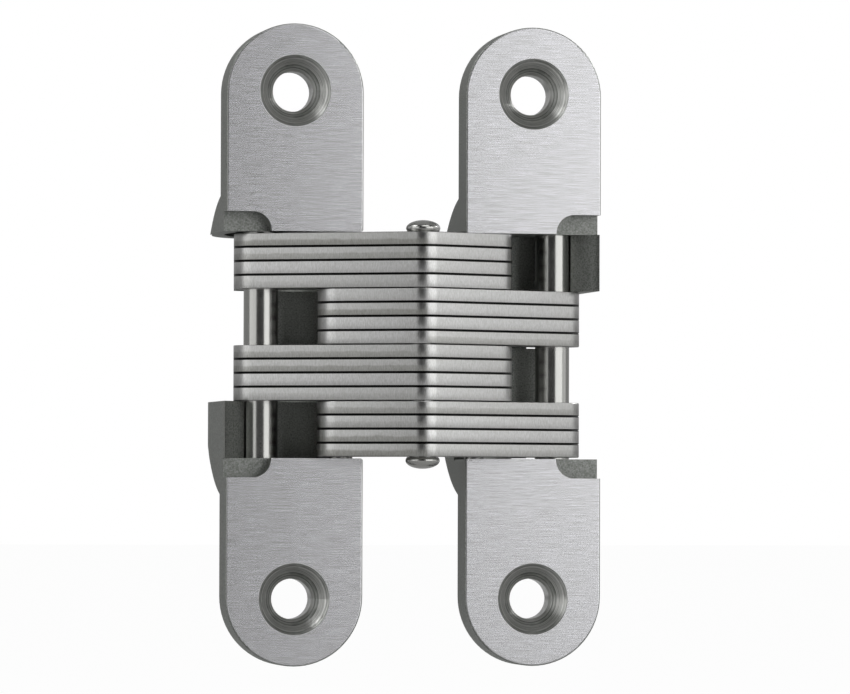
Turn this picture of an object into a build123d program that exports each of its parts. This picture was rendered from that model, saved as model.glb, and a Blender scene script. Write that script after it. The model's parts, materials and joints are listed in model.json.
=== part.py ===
from build123d import *
from math import atan2, cos, degrees, hypot, pi, radians, sin, sqrt
import os

# A concealed door hinge, opened flat. X runs across the leaves, Y into the wood, Z up.
# It is drawn with the leaves' faces at Y 0, and written with the backs of their flanges there,
# so the origin lies on the frame leaf's seat, midway between its screw holes.
# All sizes are in millimetres.

# Leaf casting
LEAF_LENGTH = 117.475
LEAF_WIDTH = 25.4
FLANGE_THICKNESS = 7.0
FACE_EDGE_RADIUS = 0.35
SCREW_SPACING = 92.9
SCREW_HOLE_RADIUS = 3.7
COUNTERSINK_RADIUS = 6.5
COUNTERSINK_ANGLE = 82.0
OPEN_GAP = 19.1
CLOSED_GAP = 2.0

# Cup behind the flange
CUP_WALL = 2.3
CUP_STRAIGHT_DEPTH = 19.0
CUP_NOSE_RADIUS = 10.8
CUP_END_WALL = 4.27
CUP_END_RADIUS = 7.0
CHEEK_RADIUS = 28.2

# Links
LINKS_IN_GROUP = 4
GROUPS = 4
LINK_PITCH = 2.56
LINK_GAP = 0.12
KNUCKLE_RADIUS = 4.3
LONG_END_RADIUS = 5.0
HEEL_RADIUS = 5.0
SHORT_END_RADIUS = 3.05
FRONT_SLOPE = 28.0
CROOK_RADIUS = 3.0

# Pivots, measured from the leaf's outer edge and its face
CENTRE_FORWARD = 8.0
CENTRE_CLOSED_IN = 4.2
PIVOT_DEPTH = 7.4
HEEL_IN = 21.9
SLIDER_IN = 7.6
SLIDER_DEPTH = 7.3

# Pins
CENTRE_PIN_RADIUS = 2.4
RIVET_HEAD_RADIUS = 3.18
RIVET_HEAD_HEIGHT = 2.2
PIVOT_PIN_RADIUS = 1.9
SLIDER_PIN_RADIUS = 2.9
PIN_SEAT_DEPTH = 3.0
PIN_END_SETBACK = 0.2
GROOVE_DEPTH = 1.6
GROOVE_END_PLAY = 0.2

# Clearances
RUNNING_CLEARANCE = 0.05
SEAT_CLEARANCE = 0.02
GROOVE_CLEARANCE = 0.3
SWING_CLEARANCE = 0.4
RIB_CLEARANCE = 0.05
WAY_CLEARANCE = 0.2
STACK_CLEARANCE = 0.25
HEAD_CLEARANCE = 1.0
HEAD_END_CLEARANCE = 1.6

# Pocket and its openings
WINDOW_REACH = 8.9
WINDOW_FLOOR_REACH = 9.7
OUTER_WALL = 4.6
NOTCH_CORNER_RADIUS = 3.4
PLATE_CORNER_RADIUS = 0.5

# Sizes that follow from the ones above
HALF_WIDTH = LEAF_WIDTH / 2
HALF_GAP = OPEN_GAP / 2
OUTER_X = -HALF_WIDTH
STACK_HALF = LINK_PITCH * LINKS_IN_GROUP * GROUPS / 2
GROUP_HEIGHT = LINK_PITCH * LINKS_IN_GROUP
POCKET_HALF = STACK_HALF + STACK_CLEARANCE
CUP_HALF_HEIGHT = POCKET_HALF + CUP_END_WALL


def from_outer_edge(distance, depth):
    return Vector(OUTER_X + distance, depth, 0)


def direction_of(vector):
    return atan2(vector.Y, vector.X)


# The centre pin's open place is midway between the leaves; closed, it is midway between their faces.
CENTRE_OPEN = from_outer_edge(LEAF_WIDTH + HALF_GAP, -CENTRE_FORWARD)
CENTRE_CLOSED = from_outer_edge(CENTRE_CLOSED_IN, -CLOSED_GAP / 2)


def pivot_place():
    """The fixed pin is as far from the open centre pin as from the closed one."""
    middle = (CENTRE_OPEN + CENTRE_CLOSED) * 0.5
    across = CENTRE_OPEN - CENTRE_CLOSED
    return Vector(middle.X - (PIVOT_DEPTH - middle.Y) * across.Y / across.X, PIVOT_DEPTH, 0)


PIVOT = pivot_place()
SLIDER_OPEN = from_outer_edge(SLIDER_IN, SLIDER_DEPTH)
SLIDER_ARM = (SLIDER_OPEN - CENTRE_OPEN).length


def turned_over(point):
    """The same place in the other leaf, mirrored across the centre pin."""
    return Vector(2 * CENTRE_OPEN.X - point.X, point.Y, 0)


def heel_place():
    """The heel's circle touches the straight front line that leaves the knuckle."""
    slope = radians(FRONT_SLOPE)
    x = OUTER_X + HEEL_IN
    rise = ((CENTRE_OPEN.X - x) * sin(slope) + HEEL_RADIUS - KNUCKLE_RADIUS) / cos(slope)
    return Vector(x, CENTRE_OPEN.Y + rise, 0)


HEEL = heel_place()

# Angle that a short arm turns about its fixed pin between open and closed, in degrees
FOLD_ANGLE = degrees(direction_of(CENTRE_OPEN - PIVOT) - direction_of(CENTRE_CLOSED - PIVOT)) % 360
ARM_ANGLE = direction_of(SLIDER_OPEN - CENTRE_OPEN) - direction_of(turned_over(PIVOT) - CENTRE_OPEN)


def turned(point, about, angle):
    """A point turned about another, in the plane of the links, by degrees."""
    return about + (point - about).rotate(Axis.Z, angle)


def slider_place(share):
    """The slider pin in the frame leaf, from share 0, open flat, to 1, closed."""
    centre = turned(CENTRE_OPEN, PIVOT, -FOLD_ANGLE * share)
    fold_line = pi / 2 * (1 - share)
    arm = 2 * fold_line - direction_of(PIVOT - centre) + ARM_ANGLE
    return centre + Vector(cos(arm), sin(arm), 0) * SLIDER_ARM


SLIDER_MIDDLE = slider_place(0.5)
SLIDER_CLOSED = slider_place(1)
HEEL_CLOSED = turned(HEEL, PIVOT, -FOLD_ANGLE)

# Depths that clear the folded links
CUP_FLOOR = SLIDER_CLOSED.Y + LONG_END_RADIUS + SWING_CLEARANCE
CUP_DEPTH = CUP_FLOOR + CUP_WALL
POCKET_FLOOR = HEEL_CLOSED.Y + HEEL_RADIUS + SWING_CLEARANCE
INNER_WALL_START = PIVOT.Y + SHORT_END_RADIUS + SWING_CLEARANCE


def arc_centre(a, b, c):
    """The centre of the circle through three points."""
    ax, ay, bx, by = a.X - c.X, a.Y - c.Y, b.X - c.X, b.Y - c.Y
    d = 2 * (ax * by - ay * bx)
    x = (by * (ax * ax + ay * ay) - ay * (bx * bx + by * by)) / d
    y = (ax * (bx * bx + by * by) - bx * (ax * ax + ay * ay)) / d
    return Vector(c.X + x, c.Y + y, 0)


GROOVE_CENTRE = arc_centre(SLIDER_OPEN, SLIDER_MIDDLE, SLIDER_CLOSED)
GROOVE_RADIUS = (SLIDER_OPEN - GROOVE_CENTRE).length


def disc(centre, radius):
    return Pos(centre.X, centre.Y) * Circle(radius)


def hull_of(*discs):
    return make_hull([edge for one in discs for edge in one.edges()])


def rectangle(x0, x1, y0, y1):
    return Pos((x0 + x1) / 2, (y0 + y1) / 2) * Rectangle(x1 - x0, y1 - y0)


def between(profile, z0, z1):
    """A plan profile as a solid from one height to another."""
    return extrude(Pos(0, 0, z0) * profile, z1 - z0, dir=(0, 0, 1))


# Leaf casting

def flange():
    outline = Rot(90, 0, 0) * Rot(0, 0, 90) * SlotOverall(LEAF_LENGTH, LEAF_WIDTH)
    plate = extrude(outline, FLANGE_THICKNESS, dir=(0, 1, 0))
    front_rim = plate.faces().sort_by(Axis.Y)[0].edges()
    return fillet(front_rim, FACE_EDGE_RADIUS)


def mirrored(point):
    """The same place on the other side of the leaf's middle."""
    return Vector(-point.X, point.Y, 0)


def cup_plan(wall=0.0, front=FACE_EDGE_RADIUS):
    """The cup seen from above, straight sides drawn in to a round nose, or its inside for a wall."""
    half = HALF_WIDTH - wall
    nose_radius = CUP_NOSE_RADIUS - wall
    nose_centre_y = CUP_DEPTH - CUP_NOSE_RADIUS
    drop = nose_centre_y - CUP_STRAIGHT_DEPTH
    # The side arc starts straight at the side and ends tangent to the nose.
    reach = (half**2 + drop**2 - nose_radius**2) / (2 * (half - nose_radius))
    away = reach - half
    share = nose_radius / hypot(away, drop)
    join = Vector(-away * share, nose_centre_y + drop * share, 0)
    slant = atan2(join.Y - CUP_STRAIGHT_DEPTH, away - join.X) / 2
    bulge = Vector(away - reach * cos(slant), CUP_STRAIGHT_DEPTH + reach * sin(slant), 0)
    shoulder = Vector(-half, CUP_STRAIGHT_DEPTH, 0)
    mouth = Vector(-half, front, 0)
    tip = Vector(0, nose_centre_y + nose_radius, 0)
    one_side = Line(mouth, shoulder) + ThreePointArc(shoulder, bulge, join)
    nose = ThreePointArc(join, tip, mirrored(join))
    far_side = ThreePointArc(mirrored(join), mirrored(bulge), mirrored(shoulder))
    far_side += Line(mirrored(shoulder), mirrored(mouth))
    return make_face(one_side + nose + far_side + Line(mirrored(mouth), mouth))


def cup_body():
    """A deep rounded cup with boat-shaped cheeks that run out along the flange."""
    plan = cup_plan()
    cup = between(plan, -CUP_HALF_HEIGHT, CUP_HALF_HEIGHT)
    ends = [e for f in cup.faces().filter_by(Axis.Z) for e in f.edges() if e.center().Y > CUP_STRAIGHT_DEPTH / 4]
    cup = fillet(ends, CUP_END_RADIUS)
    boat = extrude(Rot(0, 90, 0) * Circle(CHEEK_RADIUS), HALF_WIDTH, dir=(1, 0, 0), both=True)
    cheeks = between(plan, -CHEEK_RADIUS, CHEEK_RADIUS) & boat
    return cup + cheeks


def screw_holes():
    cone_depth = (COUNTERSINK_RADIUS - SCREW_HOLE_RADIUS) / sin(radians(COUNTERSINK_ANGLE / 2)) \
        * cos(radians(COUNTERSINK_ANGLE / 2))
    bore = Cylinder(SCREW_HOLE_RADIUS, 2 * FLANGE_THICKNESS, align=(Align.CENTER, Align.CENTER, Align.MIN))
    cone = Cone(COUNTERSINK_RADIUS, SCREW_HOLE_RADIUS, cone_depth, align=(Align.CENTER, Align.CENTER, Align.MIN))
    hole = Rot(-90, 0, 0) * (bore + cone)
    return [Pos(0, 0, side * SCREW_SPACING / 2) * hole for side in (-1, 1)]


def level(number):
    """Bottom and top of one group of links, group 1 lowest."""
    bottom = -STACK_HALF + (number - 1) * GROUP_HEIGHT
    return bottom, bottom + GROUP_HEIGHT


def mouth():
    """The pocket's front, open to the inner side, where the short arms swing."""
    x0 = OUTER_X + OUTER_WALL
    opening = rectangle(x0, HALF_WIDTH + 1, -POCKET_HALF, POCKET_HALF)
    r = PLATE_CORNER_RADIUS
    for side in (-1, 1):
        corner = rectangle(HALF_WIDTH - r, HALF_WIDTH + 1, POCKET_HALF - 1, POCKET_HALF + r)
        corner -= Pos(HALF_WIDTH - r, POCKET_HALF + r) * Circle(r)
        opening += corner if side > 0 else mirror(corner, about=Plane.XZ)
    return front_cut(opening, INNER_WALL_START)


def front_cut(profile, depth):
    """A profile drawn on the face, cut to a depth."""
    return extrude(Plane(origin=(0, -1, 0), x_dir=(1, 0, 0), z_dir=(0, -1, 0)) * profile, depth + 1, dir=(0, 1, 0))


def bays():
    """The shallow pocket for the short arms and the deep bays for the long arms."""
    inside = cup_plan(CUP_WALL, -1)
    low_2, high_2 = level(2)
    low_4, high_4 = level(4)
    shallow = inside & rectangle(OUTER_X + OUTER_WALL, HALF_WIDTH, -2, POCKET_FLOOR)
    return [
        between(shallow, -POCKET_HALF, POCKET_HALF),
        between(inside, low_2 - RIB_CLEARANCE, high_2 + RIB_CLEARANCE),
        between(inside, low_4 - RIB_CLEARANCE, POCKET_HALF),
    ]


def window():
    """The outer side is open beside the upper three groups, where the long arms swing past the wall."""
    low = level(2)[0] - RIB_CLEARANCE
    front, back = -1, CUP_DEPTH + 1
    edge = [(OUTER_X - 1, front), (OUTER_X + WINDOW_REACH, front), (OUTER_X + WINDOW_REACH, POCKET_FLOOR)]
    edge += [(OUTER_X + WINDOW_FLOOR_REACH, CUP_FLOOR), (OUTER_X + WINDOW_FLOOR_REACH, back), (OUTER_X - 1, back)]
    return between(make_face(Polyline(*edge, close=True)), low, POCKET_HALF)


def groove_plan(half_width):
    """The curved path of the slider pin, with round ends."""
    path = ThreePointArc(SLIDER_OPEN, SLIDER_MIDDLE, SLIDER_CLOSED)
    ring = disc(GROOVE_CENTRE, GROOVE_RADIUS + half_width) - disc(GROOVE_CENTRE, GROOVE_RADIUS - half_width)
    first = direction_of(SLIDER_OPEN - GROOVE_CENTRE)
    last = direction_of(SLIDER_CLOSED - GROOVE_CENTRE) % (2 * pi)
    middle = (first % (2 * pi) + last) / 2
    far = 2 * GROOVE_RADIUS
    ends = [GROOVE_CENTRE + Vector(cos(a), sin(a), 0) * far for a in (first, middle, last)]
    sector = make_face(Polyline(GROOVE_CENTRE, *ends, close=True))
    return (ring & sector) + disc(path @ 0, half_width) + disc(path @ 1, half_width)


def slider_runs():
    """A way for the slider pin through the ribs, and narrow grooves for its ends."""
    half = SLIDER_PIN_RADIUS + GROOVE_CLEARANCE
    grooves = between(groove_plan(half), -POCKET_HALF - GROOVE_DEPTH, POCKET_HALF + GROOVE_DEPTH)
    way = between(groove_plan(half + WAY_CLEARANCE), -POCKET_HALF, POCKET_HALF)
    return [grooves, way]


def knuckle_scoop():
    """The outer wall is scooped out for the folded short arms."""
    grow = SWING_CLEARANCE
    arm = hull_of(
        disc(CENTRE_CLOSED, KNUCKLE_RADIUS + grow),
        disc(HEEL_CLOSED, HEEL_RADIUS + grow),
        disc(PIVOT, SHORT_END_RADIUS + grow),
    )
    return between(arm, -POCKET_HALF, level(1)[1] + RIB_CLEARANCE)


def rivet_notches():
    """Notches in the outer corners beside the pocket take the rivet heads."""
    reach = OUTER_X + CENTRE_CLOSED_IN + RIVET_HEAD_RADIUS + HEAD_CLEARANCE
    top = STACK_HALF + RIVET_HEAD_HEIGHT + HEAD_END_CLEARANCE
    depth = CENTRE_CLOSED.Y + RIVET_HEAD_RADIUS + HEAD_CLEARANCE - 0.2
    notch = rectangle(OUTER_X - 1, reach, POCKET_HALF - 0.01, top)
    corner = notch.vertices().sort_by_distance((reach, top))[0]
    notch = fillet(corner, NOTCH_CORNER_RADIUS)
    return [front_cut(notch, depth), front_cut(mirror(notch, about=Plane.XZ), depth)]


def pivot_pin_reach():
    """The lower end sits in a blind hole, the upper end just inside the cup's slope."""
    slope = sqrt(CHEEK_RADIUS**2 - (PIVOT.Y + PIVOT_PIN_RADIUS)**2)
    return -POCKET_HALF - PIN_SEAT_DEPTH, slope - PIN_END_SETBACK


def pivot_hole():
    low, high = pivot_pin_reach()
    return between(disc(PIVOT, PIVOT_PIN_RADIUS + SEAT_CLEARANCE), low - SEAT_CLEARANCE, high + 2)


def leaf():
    body = flange() + cup_body()
    cuts = [mouth(), window(), knuckle_scoop(), pivot_hole()]
    cuts += bays() + slider_runs() + rivet_notches() + screw_holes()
    for cut in cuts:
        body -= cut
    return body


# Links and pins, placed for the frame leaf

def link_plan():
    """A crooked stamping: a short arm with a heel, a knuckle and a long arm."""
    knuckle = disc(CENTRE_OPEN, KNUCKLE_RADIUS)
    far_end = turned_over(SLIDER_OPEN)
    short_arm = hull_of(knuckle, disc(HEEL, HEEL_RADIUS), disc(PIVOT, SHORT_END_RADIUS))
    long_arm = hull_of(knuckle, disc(far_end, LONG_END_RADIUS))
    plan = short_arm + long_arm
    crook = plan.vertices().sort_by_distance(CENTRE_OPEN + Vector(0, KNUCKLE_RADIUS, 0))[0]
    plan = fillet(crook, CROOK_RADIUS)
    plan -= disc(CENTRE_OPEN, CENTRE_PIN_RADIUS + RUNNING_CLEARANCE)
    plan -= disc(PIVOT, PIVOT_PIN_RADIUS + RUNNING_CLEARANCE)
    return plan - disc(far_end, SLIDER_PIN_RADIUS + RUNNING_CLEARANCE)


def frame_links():
    """Four links in group 3, counted from the top, then four in group 1."""
    plan = link_plan()
    bottoms = [level(g)[0] + n * LINK_PITCH for g in (3, 1) for n in reversed(range(LINKS_IN_GROUP))]
    return [between(plan, z + LINK_GAP / 2, z + LINK_PITCH - LINK_GAP / 2) for z in bottoms]


def rivet_head(base):
    ball = (RIVET_HEAD_RADIUS**2 + RIVET_HEAD_HEIGHT**2) / (2 * RIVET_HEAD_HEIGHT)
    dome = Pos(0, 0, base + RIVET_HEAD_HEIGHT - ball) * Sphere(ball)
    upper = Pos(0, 0, base) * Cylinder(ball + 1, ball + 1, align=(Align.CENTER, Align.CENTER, Align.MIN))
    return dome & upper


def centre_pin():
    shank = Cylinder(CENTRE_PIN_RADIUS, 2 * STACK_HALF)
    head = rivet_head(STACK_HALF)
    return Pos(CENTRE_OPEN.X, CENTRE_OPEN.Y) * (shank + head + mirror(head, about=Plane.XY))


def round_pin(place, radius, low, high, edge):
    pin = between(disc(place, radius), low, high)
    return chamfer(pin.edges().filter_by(GeomType.CIRCLE), edge)


def pivot_pin():
    low, high = pivot_pin_reach()
    return round_pin(PIVOT, PIVOT_PIN_RADIUS, low, high, 0.3)


def slider_pin():
    half = POCKET_HALF + GROOVE_DEPTH - GROOVE_END_PLAY
    return round_pin(SLIDER_OPEN, SLIDER_PIN_RADIUS, -half, half, 0.4)


def other_side(shape):
    """The same piece turned end for end in the other leaf."""
    return Pos(2 * CENTRE_OPEN.X, 0, 0) * Rot(0, 180, 0) * shape


def main():
    os.makedirs("parts", exist_ok=True)
    frame_leaf = leaf()
    pieces = {
        "frame_leaf": frame_leaf,
        "door_leaf": other_side(frame_leaf),
        "centre_pin": centre_pin(),
        "frame_pivot_pin": pivot_pin(),
        "door_pivot_pin": other_side(pivot_pin()),
        "frame_slider_pin": slider_pin(),
        "door_slider_pin": other_side(slider_pin()),
    }
    for number, link in enumerate(frame_links(), 1):
        pieces[f"frame_link_{number}"] = link
        pieces[f"door_link_{number}"] = other_side(link)
    for name, shape in pieces.items():
        export_step(Pos(0, -FLANGE_THICKNESS, 0) * shape, f"parts/{name}.step")


main()
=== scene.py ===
import json
from math import cos, radians, sin

import bmesh
import bpy
from mathutils import Euler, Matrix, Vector

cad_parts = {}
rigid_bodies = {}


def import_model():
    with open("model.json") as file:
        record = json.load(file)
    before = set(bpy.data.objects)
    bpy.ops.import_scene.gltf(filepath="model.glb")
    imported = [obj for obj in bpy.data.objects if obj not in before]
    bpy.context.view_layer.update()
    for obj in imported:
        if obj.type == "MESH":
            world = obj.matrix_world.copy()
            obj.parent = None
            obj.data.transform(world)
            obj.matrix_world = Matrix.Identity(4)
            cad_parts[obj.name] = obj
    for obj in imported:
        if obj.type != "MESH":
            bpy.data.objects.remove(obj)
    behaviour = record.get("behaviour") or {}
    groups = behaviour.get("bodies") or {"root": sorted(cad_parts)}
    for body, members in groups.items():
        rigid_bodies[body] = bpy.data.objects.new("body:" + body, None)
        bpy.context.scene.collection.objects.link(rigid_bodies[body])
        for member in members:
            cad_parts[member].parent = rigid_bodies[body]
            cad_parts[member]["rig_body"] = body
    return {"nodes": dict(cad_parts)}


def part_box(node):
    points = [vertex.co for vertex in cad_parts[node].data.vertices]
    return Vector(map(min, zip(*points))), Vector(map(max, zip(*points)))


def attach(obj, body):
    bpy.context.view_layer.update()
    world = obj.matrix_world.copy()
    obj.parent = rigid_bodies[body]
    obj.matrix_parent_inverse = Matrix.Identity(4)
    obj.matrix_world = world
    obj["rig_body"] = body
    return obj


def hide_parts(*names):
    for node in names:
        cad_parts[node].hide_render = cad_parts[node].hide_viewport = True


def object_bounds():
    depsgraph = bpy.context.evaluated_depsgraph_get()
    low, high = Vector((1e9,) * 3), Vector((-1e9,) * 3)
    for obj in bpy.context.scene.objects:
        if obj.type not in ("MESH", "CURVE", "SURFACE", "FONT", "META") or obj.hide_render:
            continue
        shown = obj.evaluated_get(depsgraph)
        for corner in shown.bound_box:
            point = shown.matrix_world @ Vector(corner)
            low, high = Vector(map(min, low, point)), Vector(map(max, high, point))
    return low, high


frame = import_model()
cad_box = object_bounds()


# Leaf castings: two equal zinc castings, each a flange with a deep cup behind, plated and satin
# finished. The faces are belt brushed along the hinge's width, and the countersinks are turned.
# The edges, the cup and the notches keep the dull skin of the casting.

MM = 0.001
nodes = frame["nodes"]


def linear(hex_colour):
    """An sRGB hex value as a linear colour with alpha."""
    channels = [int(hex_colour[i:i + 2], 16) / 255 for i in (0, 2, 4)]
    return [c / 12.92 if c <= 0.04045 else ((c + 0.055) / 1.055) ** 2.4 for c in channels] + [1.0]


def add(tree, kind, **given):
    """Adds a node. A lower-case name is a setting of the node itself, and any other is an input,
    by its own name or as i and its number. A value that is a socket is linked."""
    node = tree.nodes.new("ShaderNode" + kind)
    for name, value in given.items():
        if name in node.bl_rna.properties:
            setattr(node, name, value)
            continue
        socket = node.inputs[int(name[1:]) if name[1:].isdigit() else name.replace("_", " ")]
        if isinstance(value, bpy.types.NodeSocket):
            tree.links.new(value, socket)
        else:
            socket.default_value = value
    return node


def new_material(name):
    """A material with one shader on its output, and the object coordinates for its patterns."""
    material = bpy.data.materials.new(name)
    material.use_nodes = True
    tree = material.node_tree
    tree.nodes.clear()
    shader = add(tree, "BsdfPrincipled")
    add(tree, "OutputMaterial", Surface=shader.outputs["BSDF"])
    place = add(tree, "TexCoord").outputs["Object"]
    return material, tree, shader, place


SATIN = linear("D8D8DC")
SATIN_DARK = linear("BEBEBE")
SATIN_ROUGHNESS = 0.27
CAST_SKIN = linear("A4A6A3")
CAST_DARK = linear("757873")
CAST_ROUGHNESS = 0.5
TURNED = linear("E2E2E0")
TURNED_ROUGHNESS = 0.3

# Real brush lines and turning marks are about 0.05 mm wide. They are drawn coarser, to show.
BRUSH_LENGTH = 5 * MM
BRUSH_WIDTH = 0.14 * MM
BRUSH_RELIEF = 0.022 * MM
CAST_GRAIN = 0.3 * MM
TURNING_PITCH = 0.22 * MM
TURNING_RELIEF = 0.09 * MM
TURNING_PATCH = 2.5 * MM
MARK_DARK, MARK_LIGHT = 0.34, 0.66
GRAIN_DARK, GRAIN_LIGHT = 0.35, 0.65
BUMP_STRENGTH = 0.6

# The face stands 7 mm before the flange's back. The brushing ends just behind the face, at its
# edge, and the turned rings end just before the back.
FACE_DEPTH = -7 * MM
EDGE_FROM, EDGE_TO = 0.008 * MM, 0.06 * MM
BACK_MARGIN = -0.2 * MM
SCREW_HEIGHT = 46.45 * MM
COUNTERSINK_RADIUS = 6.5 * MM
RIM_OUTSIDE, RIM_INSIDE = 0.15 * MM, -0.02 * MM


def satin_plated_casting(name, middle):
    """Zinc with satin plate: fine bright and dark lines along the brushed face, turned rings in
    the countersinks, and a dull speckled skin everywhere else."""
    material, tree, shader, place = new_material(name)
    shader.inputs["Metallic"].default_value = 1.0
    axes = add(tree, "SeparateXYZ", Vector=place).outputs

    stretch = (1 / BRUSH_LENGTH, 1 / BRUSH_WIDTH, 1 / BRUSH_WIDTH)
    along = add(tree, "Mapping", Vector=place, Scale=stretch).outputs[0]
    brush = add(tree, "TexNoise", Vector=along, Scale=1.0, Detail=3.0,
                Roughness=0.62).outputs["Fac"]
    lines = add(tree, "MapRange", Value=brush, From_Min=MARK_DARK, From_Max=MARK_LIGHT).outputs[0]
    grain = add(tree, "TexNoise", Vector=place, Scale=1 / CAST_GRAIN, Detail=4.0,
                Roughness=0.65).outputs["Fac"]
    speckle = add(tree, "MapRange", Value=grain, From_Min=GRAIN_DARK,
                  From_Max=GRAIN_LIGHT).outputs[0]
    cast = add(tree, "MapRange", Value=axes["Y"], From_Min=FACE_DEPTH + EDGE_FROM,
               From_Max=FACE_DEPTH + EDGE_TO).outputs[0]

    across = add(tree, "Math", operation="SUBTRACT", i0=axes["X"], i1=middle).outputs[0]
    height = add(tree, "Math", operation="ABSOLUTE", i0=axes["Z"]).outputs[0]
    above = add(tree, "Math", operation="SUBTRACT", i0=height, i1=SCREW_HEIGHT).outputs[0]
    from_screw = add(tree, "CombineXYZ", X=across, Y=above).outputs[0]
    radius = add(tree, "VectorMath", operation="LENGTH", i0=from_screw).outputs["Value"]
    near = add(tree, "MapRange", Value=radius, From_Min=COUNTERSINK_RADIUS + RIM_OUTSIDE,
               From_Max=COUNTERSINK_RADIUS + RIM_INSIDE).outputs[0]
    front = add(tree, "Math", operation="LESS_THAN", i0=axes["Y"], i1=BACK_MARGIN).outputs[0]
    turned = add(tree, "Math", operation="MULTIPLY", i0=near, i1=front).outputs[0]
    turns = add(tree, "Math", operation="DIVIDE", i0=radius, i1=TURNING_PITCH).outputs[0]
    patch = add(tree, "TexNoise", Vector=place, Scale=1 / TURNING_PATCH, Detail=2.0).outputs["Fac"]
    ring_place = add(tree, "CombineXYZ", X=turns, Y=patch).outputs[0]
    rings = add(tree, "TexNoise", Vector=ring_place, Scale=1.0, Detail=3.0,
                Roughness=0.7).outputs["Fac"]
    ringed = add(tree, "MapRange", Value=rings, From_Min=MARK_DARK, From_Max=MARK_LIGHT).outputs[0]

    satin = add(tree, "Mix", data_type="RGBA", i0=lines, i6=SATIN_DARK, i7=SATIN).outputs[2]
    skin = add(tree, "Mix", data_type="RGBA", i0=speckle, i6=CAST_DARK, i7=CAST_SKIN).outputs[2]
    cut = add(tree, "Mix", data_type="RGBA", i0=ringed, i6=CAST_DARK, i7=TURNED).outputs[2]
    plated = add(tree, "Mix", data_type="RGBA", i0=cast, i6=satin, i7=skin).outputs[2]
    colour = add(tree, "Mix", data_type="RGBA", i0=turned, i6=plated, i7=cut).outputs[2]
    tree.links.new(colour, shader.inputs["Base Color"])

    rough = add(tree, "MapRange", Value=cast, To_Min=SATIN_ROUGHNESS,
                To_Max=CAST_ROUGHNESS).outputs[0]
    sheen = add(tree, "Mix", data_type="FLOAT", i0=turned, i2=rough,
                i3=TURNED_ROUGHNESS).outputs[0]
    tree.links.new(sheen, shader.inputs["Roughness"])

    skin_relief = add(tree, "Mix", data_type="FLOAT", i0=cast, i2=brush, i3=grain).outputs[0]
    relief = add(tree, "Mix", data_type="FLOAT", i0=turned, i2=skin_relief, i3=rings).outputs[0]
    depth = add(tree, "Mix", data_type="FLOAT", i0=turned, i2=BRUSH_RELIEF,
                i3=TURNING_RELIEF).outputs[0]
    bump = add(tree, "Bump", Strength=BUMP_STRENGTH, Distance=depth, Height=relief).outputs[0]
    tree.links.new(bump, shader.inputs["Normal"])
    return material


def dress(name, material):
    """Gives a CAD node its material."""
    nodes[name].data.materials.clear()
    nodes[name].data.materials.append(material)


for leaf in ("frame_leaf", "door_leaf"):
    low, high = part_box(leaf)
    dress(leaf, satin_plated_casting("satin_plated_" + leaf, (low[0] + high[0]) / 2))


# Back walls of the deep bays: the cup's round nose goes on past the ribs behind each deep bay,
# as part of the same zinc casting. Each strip of it is an outline seen from above, drawn up to
# the bay's height, and the door leaf has the outlines the other way round.

LEAF_SPACING = 44.5 * MM
NOSE_CENTRE = 19.21 * MM
NOSE_OUTSIDE = 10.8 * MM
NOSE_INSIDE = 8.5 * MM
NOSE_FROM, NOSE_TO = -5.6 * MM, -3.0 * MM
NOSE_STEPS = 6
BAYS = {"frame_leaf": ((-9.9 * MM, -0.4 * MM), (10.9 * MM, 20.4 * MM)),
        "door_leaf": ((-20.4 * MM, -10.9 * MM), (-1.0 * MM, 9.9 * MM))}
CRISP_EDGE = radians(35)


def finished(name, shape, material, body):
    """A piece from a shape, smooth but for its crisp edges, dressed and riding on a body."""
    mesh = bpy.data.meshes.new(name)
    shape.to_mesh(mesh)
    shape.free()
    mesh.shade_smooth()
    mesh.set_sharp_from_angle(angle=CRISP_EDGE)
    mesh.materials.append(material)
    piece = bpy.data.objects.new(name, mesh)
    bpy.context.scene.collection.objects.link(piece)
    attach(piece, body)
    return piece


def nose_wall(name, leaf, low, high):
    """A curved strip of the cup's nose between two heights."""
    steps = [NOSE_FROM + (NOSE_TO - NOSE_FROM) * n / NOSE_STEPS for n in range(NOSE_STEPS + 1)]
    outside = [(x, NOSE_CENTRE + (NOSE_OUTSIDE**2 - x**2) ** 0.5) for x in steps]
    inside = [(x, NOSE_CENTRE + (NOSE_INSIDE**2 - x**2) ** 0.5) for x in reversed(steps)]
    outline = [(LEAF_SPACING - x if leaf == "door_leaf" else x, y, low)
               for x, y in outside + inside]
    shape = bmesh.new()
    base = shape.faces.new([shape.verts.new(corner) for corner in outline])
    grown = bmesh.ops.extrude_face_region(shape, geom=[base])["geom"]
    lifted = [v for v in grown if isinstance(v, bmesh.types.BMVert)]
    bmesh.ops.translate(shape, verts=lifted, vec=(0, 0, high - low))
    bmesh.ops.recalc_face_normals(shape, faces=shape.faces)
    return finished(name, shape, nodes[leaf].data.materials[0], nodes[leaf]["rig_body"])


for leaf, bays in BAYS.items():
    for number, (low, high) in enumerate(bays, 1):
        nose_wall(f"{leaf}_nose_wall_{number}", leaf, low, high)


# Links: sixteen equal stampings of mild steel, tumbled, so their sheared edges are satin with soft
# corners. Eight turn on each leaf's fixed pin, in groups of four, and all cross on the centre pin.
# They touch inside a group, where only a line of painted shade, drawn in the material, shows each
# meeting.

LINK_STEEL = linear("C8C8C8")
LINK_DARK = linear("94948E")
FRACTURE = linear("B2B2B0")
# Painted shade: near black drawn where two links meet, in place of the shaded gap between them.
PAINTED_SEAM_SHADE = linear("0C0C0B")
BURNISHED_ROUGHNESS = 0.28
TORN_ROUGHNESS = 0.38
LINK_PITCH = 2.56 * MM
LINKS_PER_GROUP = 4
LINKS_PER_LEAF = 8

# Real shear lines are about 0.05 mm apart. They are drawn coarser, to show.
SHEAR_LINE = 0.16 * MM
SHEAR_LENGTH = 5 * SHEAR_LINE
SHEAR_RELIEF = 0.03 * MM
SHEAR_DARK, SHEAR_LIGHT = 0.38, 0.62

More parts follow.
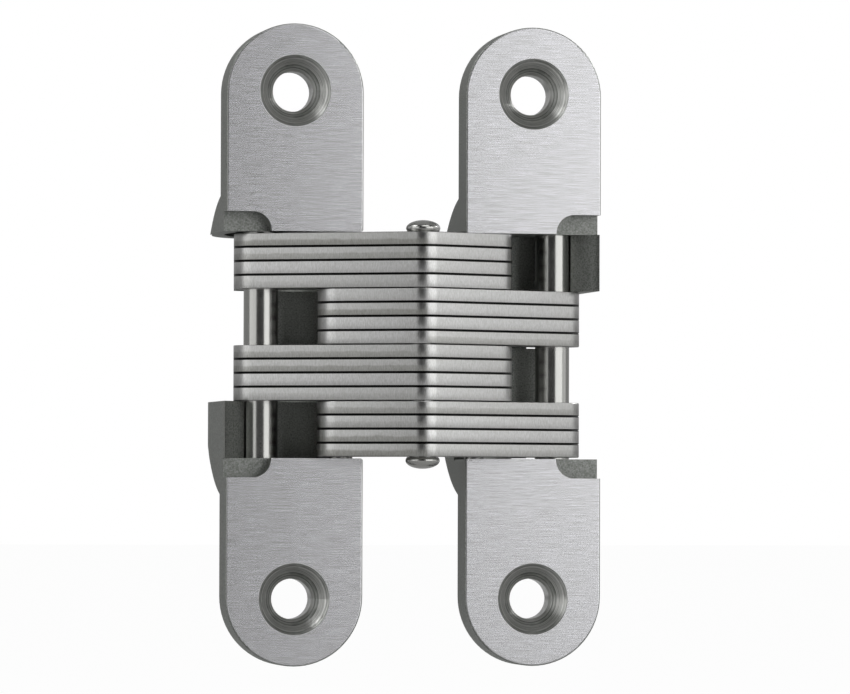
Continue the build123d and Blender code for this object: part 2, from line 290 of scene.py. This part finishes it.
# Shares of a link's height where the burnished band starts, and how far its lower edge wanders.
BURNISH_FROM, BURNISH_TO = 0.55, 0.68
TEAR_SHARE = 0.3
TEAR_WANDER = 3 * MM
RIGHT_IS_CLEANER = 0.3
CLEAN_FROM, CLEAN_TO = 0.3, 0.6
DARKENED = 0.3

# Half widths of the painted shade at a meeting inside a group, and at a group's ends.
SEAM_SHADE = 0.2 * MM
GROUP_SHADE = 0.1 * MM
SHADE_FROM, SHADE_TO = -0.01 * MM, 0.04 * MM
FLAT_FROM, FLAT_TO = 0.9, 0.98


def tumbled_steel_seam_shaded():
    """Cut edges of stampings: bright above, on some links duller and torn below, with fine
    upright shear lines, and painted near-black shade where two links meet."""
    material, tree, shader, place = new_material("tumbled_steel_seam_shaded")
    shader.inputs["Metallic"].default_value = 1.0
    axes = add(tree, "SeparateXYZ", Vector=place).outputs
    height = axes["Z"]

    stretch = (1 / SHEAR_LINE, 1 / SHEAR_LINE, 1 / SHEAR_LENGTH)
    upright = add(tree, "Mapping", Vector=place, Scale=stretch).outputs[0]
    lines = add(tree, "TexNoise", Vector=upright, Scale=1.0, Detail=4.0,
                Roughness=0.75).outputs["Fac"]
    tone = add(tree, "MapRange", Value=lines, From_Min=SHEAR_DARK, From_Max=SHEAR_LIGHT).outputs[0]

    # Each link has a draw of its own on either side, and those on the right are torn less.
    count = add(tree, "Math", operation="DIVIDE", i0=height, i1=LINK_PITCH).outputs[0]
    number = add(tree, "Math", operation="FLOOR", i0=count).outputs[0]
    right = add(tree, "Math", operation="GREATER_THAN", i0=axes["X"],
                i1=LEAF_SPACING / 2).outputs[0]
    arm = add(tree, "CombineXYZ", X=number, Y=right).outputs[0]
    own = add(tree, "TexWhiteNoise", noise_dimensions="2D", Vector=arm).outputs["Value"]
    evenly = add(tree, "Math", operation="MULTIPLY_ADD", i0=right, i1=RIGHT_IS_CLEANER,
                 i2=own).outputs[0]
    clean = add(tree, "MapRange", Value=evenly, From_Min=CLEAN_FROM, From_Max=CLEAN_TO).outputs[0]

    share = add(tree, "Math", operation="FRACT", i0=count).outputs[0]
    wander = add(tree, "TexNoise", Vector=place, Scale=1 / TEAR_WANDER, Detail=3.0).outputs["Fac"]
    edge = add(tree, "Math", operation="MULTIPLY_ADD", i0=wander, i1=TEAR_SHARE,
               i2=share).outputs[0]
    upper = add(tree, "MapRange", Value=edge, From_Min=BURNISH_FROM,
                From_Max=BURNISH_TO).outputs[0]
    burnished = add(tree, "Math", operation="MAXIMUM", i0=clean, i1=upper).outputs[0]
    torn = add(tree, "Mix", data_type="RGBA", i0=tone, i6=LINK_DARK, i7=FRACTURE).outputs[2]
    smooth = add(tree, "Mix", data_type="RGBA", i0=tone, i6=FRACTURE, i7=LINK_STEEL).outputs[2]
    cut = add(tree, "Mix", data_type="RGBA", i0=burnished, i6=torn, i7=smooth).outputs[2]
    fade = add(tree, "MapRange", Value=own, To_Min=DARKENED, To_Max=0.0).outputs[0]
    worn = add(tree, "Mix", data_type="RGBA", i0=fade, i6=cut, i7=LINK_DARK).outputs[2]

    # The painted shade line at a meeting is wider inside a group, and it stays off the flat faces.
    away = add(tree, "Math", operation="PINGPONG", i0=height, i1=LINK_PITCH / 2).outputs[0]
    group = add(tree, "Math", operation="PINGPONG", i0=height,
                i1=LINKS_PER_GROUP * LINK_PITCH / 2).outputs[0]
    inside = add(tree, "Math", operation="GREATER_THAN", i0=group, i1=LINK_PITCH / 2).outputs[0]
    reach = add(tree, "MapRange", Value=inside, To_Min=GROUP_SHADE, To_Max=SEAM_SHADE).outputs[0]
    clear = add(tree, "Math", operation="SUBTRACT", i0=away, i1=reach).outputs[0]
    clear_of_painted_shade = add(tree, "MapRange", Value=clear, From_Min=SHADE_FROM,
                    From_Max=SHADE_TO).outputs[0]
    facing = add(tree, "TexCoord").outputs["Normal"]
    upward = add(tree, "SeparateXYZ", Vector=facing).outputs["Z"]
    level = add(tree, "Math", operation="ABSOLUTE", i0=upward).outputs[0]
    flat = add(tree, "MapRange", Value=level, From_Min=FLAT_FROM, From_Max=FLAT_TO).outputs[0]
    unshaded = add(tree, "Math", operation="MAXIMUM", i0=clear_of_painted_shade, i1=flat).outputs[0]
    colour = add(tree, "Mix", data_type="RGBA", i0=unshaded, i6=PAINTED_SEAM_SHADE, i7=worn).outputs[2]
    tree.links.new(colour, shader.inputs["Base Color"])

    rough = add(tree, "MapRange", Value=burnished, To_Min=TORN_ROUGHNESS,
                To_Max=BURNISHED_ROUGHNESS).outputs[0]
    tree.links.new(rough, shader.inputs["Roughness"])
    bump = add(tree, "Bump", Strength=BUMP_STRENGTH, Distance=SHEAR_RELIEF, Height=lines).outputs[0]
    tree.links.new(bump, shader.inputs["Normal"])
    return material


LINK_CORNER = 0.2 * MM
CORNER_STEPS = 3
LINK_GROWTH = 0.05 * MM
MERGE_DISTANCE = 0.0005 * MM
FLAT_ANGLE = radians(0.5)
SHARP_ANGLE = radians(40)


def tumbled_link(name, material, below, above):
    """A copy of a link with soft corners, grown below and above where it touches the next one."""
    shape = bmesh.new()
    shape.from_mesh(nodes[name].data)
    bmesh.ops.remove_doubles(shape, verts=shape.verts, dist=MERGE_DISTANCE)
    bmesh.ops.dissolve_limit(shape, angle_limit=FLAT_ANGLE, verts=shape.verts, edges=shape.edges)
    low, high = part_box(name)
    middle = (low[2] + high[2]) / 2
    for corner in shape.verts:
        corner.co.z += above if corner.co.z > middle else -below
    sharp = [e for e in shape.edges if len(e.link_faces) == 2 and e.calc_face_angle() > SHARP_ANGLE]
    bmesh.ops.bevel(shape, geom=sharp, offset=LINK_CORNER, offset_type="OFFSET", affect="EDGES",
                    segments=CORNER_STEPS, profile=0.5, material=-1, clamp_overlap=True)
    link = finished(name + "_softened", shape, material, nodes[name]["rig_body"])
    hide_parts(name)
    return link


link_steel = tumbled_steel_seam_shaded()
for side in ("frame", "door"):
    for number in range(1, LINKS_PER_LEAF + 1):
        first = number % LINKS_PER_GROUP == 1
        last = number % LINKS_PER_GROUP == 0
        top, bottom = (first, last) if side == "frame" else (last, first)
        below = 0 if bottom else LINK_GROWTH
        above = 0 if top else LINK_GROWTH
        tumbled_link(f"{side}_link_{number}", link_steel, below, above)


# Pins: drawn steel rod, ground and bright. The centre pin is headed over at both ends once the
# links are on it. The pivot pins sit fast in the castings, and the slider pins run in grooves in
# the end walls.

PIN_STEEL = linear("AEAEAB")
GROUND_ROUGHNESS = 0.16
SMEARED_ROUGHNESS = 0.26
PIN_SMEAR = 3 * MM
TURNED_STEPS = 72
POLE_MERGE = 0.001 * MM


def bright_drawn_steel():
    """Ground steel rod: nearly mirror bright, with patches that are a little duller."""
    material, tree, shader, place = new_material("bright_drawn_steel")
    shader.inputs["Metallic"].default_value = 1.0
    shader.inputs["Base Color"].default_value = PIN_STEEL
    smear = add(tree, "TexNoise", Vector=place, Scale=1 / PIN_SMEAR, Detail=3.0).outputs["Fac"]
    rough = add(tree, "MapRange", Value=smear, To_Min=GROUND_ROUGHNESS,
                To_Max=SMEARED_ROUGHNESS).outputs[0]
    tree.links.new(rough, shader.inputs["Roughness"])
    return material


def turned_pin(name, node, upper, material):
    """A turned pin in place of a CAD one. It is given as radius and height from its middle, at
    each point of its upper half, and its lower half is the same."""
    lower = [(radius, -height) for radius, height in reversed(upper)]
    shape = bmesh.new()
    points = [shape.verts.new((radius, 0, height)) for radius, height in lower + upper]
    edges = [shape.edges.new(pair) for pair in zip(points, points[1:])]
    bmesh.ops.spin(shape, geom=points + edges, cent=(0, 0, 0), axis=(0, 0, 1),
                   angle=radians(360), steps=TURNED_STEPS, use_merge=True)
    bmesh.ops.remove_doubles(shape, verts=shape.verts, dist=POLE_MERGE)
    bmesh.ops.recalc_face_normals(shape, faces=shape.faces)
    low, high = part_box(node)
    centre = ((low[0] + high[0]) / 2, (low[1] + high[1]) / 2, 0)
    bmesh.ops.translate(shape, verts=shape.verts, vec=centre)
    pin = finished(name, shape, material, nodes[node]["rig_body"])
    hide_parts(node)
    return pin


pin_steel = bright_drawn_steel()
for name in ("frame_pivot_pin", "door_pivot_pin"):
    dress(name, pin_steel)

# The slider pins are as wide as they look in the photograph, which still clears the grooves.
SLIDER_RADIUS = 3.17 * MM
SLIDER_CHAMFER = 0.4 * MM
for name in ("frame_slider_pin", "door_slider_pin"):
    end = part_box(name)[1][2]
    upper = [(SLIDER_RADIUS, end - SLIDER_CHAMFER), (SLIDER_RADIUS - SLIDER_CHAMFER, end), (0, end)]
    turned_pin(name + "_ground", name, upper, pin_steel)

STACK_HALF = 20.48 * MM
SHANK_RADIUS = 2.4 * MM
HEAD_RADIUS = 3.12 * MM
HEAD_BULGE = 0.65 * MM
HEAD_CROWN = 1.5 * MM
HEAD_UNDERSIDE = -25
HEAD_STEPS = 16
upper = [(SHANK_RADIUS, STACK_HALF)]
for step in range(HEAD_STEPS):
    angle = radians(HEAD_UNDERSIDE + (90 - HEAD_UNDERSIDE) * step / HEAD_STEPS)
    upper.append((HEAD_RADIUS * cos(angle), STACK_HALF + HEAD_BULGE + HEAD_CROWN * sin(angle)))
upper.append((0, STACK_HALF + HEAD_BULGE + HEAD_CROWN))
turned_pin("centre_pin_headed", "centre_pin", upper, pin_steel)


# Studio: a white floor under the hinge and a white world behind, as in a cut-out catalogue
# picture. The metal itself sees a dim room that is lighter behind, and softboxes round the hinge.

FLOOR_DROP = 30 * MM
FLOOR_SIZE = 12.0
FLOOR_ROUGHNESS = 0.9
FLOOR_GLOW = 0.975
WHITE = linear("FFFFFF")
PALE_FLOOR = linear("C8C8C8")
DIM_ROOM = linear("1C1C1C")
FAR_ROOM = linear("A8A8A8")
FADE_FROM, FADE_TO = -0.55, 0.25


def matt_white_floor():
    """A matt white floor: plain white to the camera, with a trace of the hinge's shadow."""
    material, tree, shader, place = new_material("matt_white_floor")
    shader.inputs["Base Color"].default_value = PALE_FLOOR
    shader.inputs["Roughness"].default_value = FLOOR_ROUGHNESS
    glow = add(tree, "Emission", Color=WHITE, Strength=1.0).outputs[0]
    seen = add(tree, "LightPath").outputs["Is Camera Ray"]
    amount = add(tree, "Math", operation="MULTIPLY", i0=seen, i1=FLOOR_GLOW).outputs[0]
    lit = add(tree, "MixShader", i0=amount, i1=shader.outputs[0], i2=glow).outputs[0]
    tree.links.new(lit, tree.nodes["Material Output"].inputs["Surface"])
    return material


shape = bmesh.new()
bmesh.ops.create_grid(shape, x_segments=1, y_segments=1, size=FLOOR_SIZE / 2)
bmesh.ops.translate(shape, verts=shape.verts, vec=(0, 0, cad_box[0][2] - FLOOR_DROP))
floor_mesh = bpy.data.meshes.new("floor")
shape.to_mesh(floor_mesh)
shape.free()
floor_mesh.materials.append(matt_white_floor())
floor = bpy.data.objects.new("floor", floor_mesh)
bpy.context.scene.collection.objects.link(floor)

world = bpy.data.worlds.new("studio")
bpy.context.scene.world = world
world.use_nodes = True
sky = world.node_tree
sky.nodes.clear()
heading = add(sky, "TexCoord").outputs["Generated"]
behind = add(sky, "SeparateXYZ", Vector=heading).outputs["Y"]
share = add(sky, "MapRange", interpolation_type="SMOOTHSTEP", Value=behind,
            From_Min=FADE_FROM, From_Max=FADE_TO).outputs[0]
room = add(sky, "Mix", data_type="RGBA", i0=share, i6=DIM_ROOM, i7=FAR_ROOM).outputs[2]
soft = add(sky, "Background", Color=room, Strength=1.0).outputs[0]
white = add(sky, "Background", Color=WHITE, Strength=1.0).outputs[0]
seen = add(sky, "LightPath").outputs["Is Camera Ray"]
add(sky, "OutputWorld", Surface=add(sky, "MixShader", i0=seen, i1=soft, i2=white).outputs[0])

# The camera and the lamps face this point, between the leaves and level with their faces.
CENTRE = Vector((24.2 * MM, FACE_DEPTH, -0.27 * MM))
LAMP_DISTANCE = 0.9


def from_bearing(bearing, height, distance):
    """A place round the hinge. Bearing 0 is in front of the faces and positive is to the right,
    and both angles are in degrees."""
    level = cos(radians(height)) * distance
    return CENTRE + Vector((sin(radians(bearing)) * level, -cos(radians(bearing)) * level,
                            sin(radians(height)) * distance))


def softbox(name, bearing, height, width, tall, watts):
    """A softbox that faces the hinge, with its sizes in metres."""
    light = bpy.data.lights.new(name, "AREA")
    light.shape = "RECTANGLE"
    light.size, light.size_y = width, tall
    light.energy = watts
    lamp = bpy.data.objects.new(name, light)
    bpy.context.scene.collection.objects.link(lamp)
    lamp.location = from_bearing(bearing, height, LAMP_DISTANCE)
    lamp.rotation_euler = (CENTRE - lamp.location).to_track_quat("-Z", "Y").to_euler()


softbox("key_softbox", 35.3, 6, 0.8, 0.9, 4.0)
softbox("side_softbox", 74, 6, 0.62, 0.9, 1.3)
softbox("left_softbox", -66, 8, 0.84, 0.8, 2.4)
softbox("front_top_softbox", 10, 54, 0.6, 0.4, 1.6)
softbox("high_left_softbox", -86, 46, 0.4, 0.3, 1.3)
softbox("rear_right_softbox", 112, 28, 0.4, 0.3, 2.4)

# The camera's place was fitted to the hinge's outline in the photograph.
VIEW_BEARING = -11.0
VIEW_HEIGHT = -1.4
VIEW_DISTANCE = 1.1
VIEW_ROLL = 0.16
PIXELS_PER_MM = 5.456
PICTURE_WIDTH = 850
SENSOR_WIDTH = 36.0
CLIP_START, CLIP_END = 0.05, 50
camera_data = bpy.data.cameras.new("camera")
camera = bpy.data.objects.new("camera", camera_data)
bpy.context.scene.collection.objects.link(camera)
camera.location = from_bearing(VIEW_BEARING, VIEW_HEIGHT, VIEW_DISTANCE)
facing = (CENTRE - camera.location).to_track_quat("-Z", "Y")
camera.rotation_euler = (facing @ Euler((0, 0, radians(VIEW_ROLL))).to_quaternion()).to_euler()
camera_data.sensor_width = SENSOR_WIDTH
camera_data.lens = PIXELS_PER_MM * VIEW_DISTANCE / MM * SENSOR_WIDTH / PICTURE_WIDTH
camera_data.clip_start = CLIP_START
camera_data.clip_end = CLIP_END
bpy.context.scene.camera = camera
bpy.context.scene.view_settings.view_transform = "Standard"
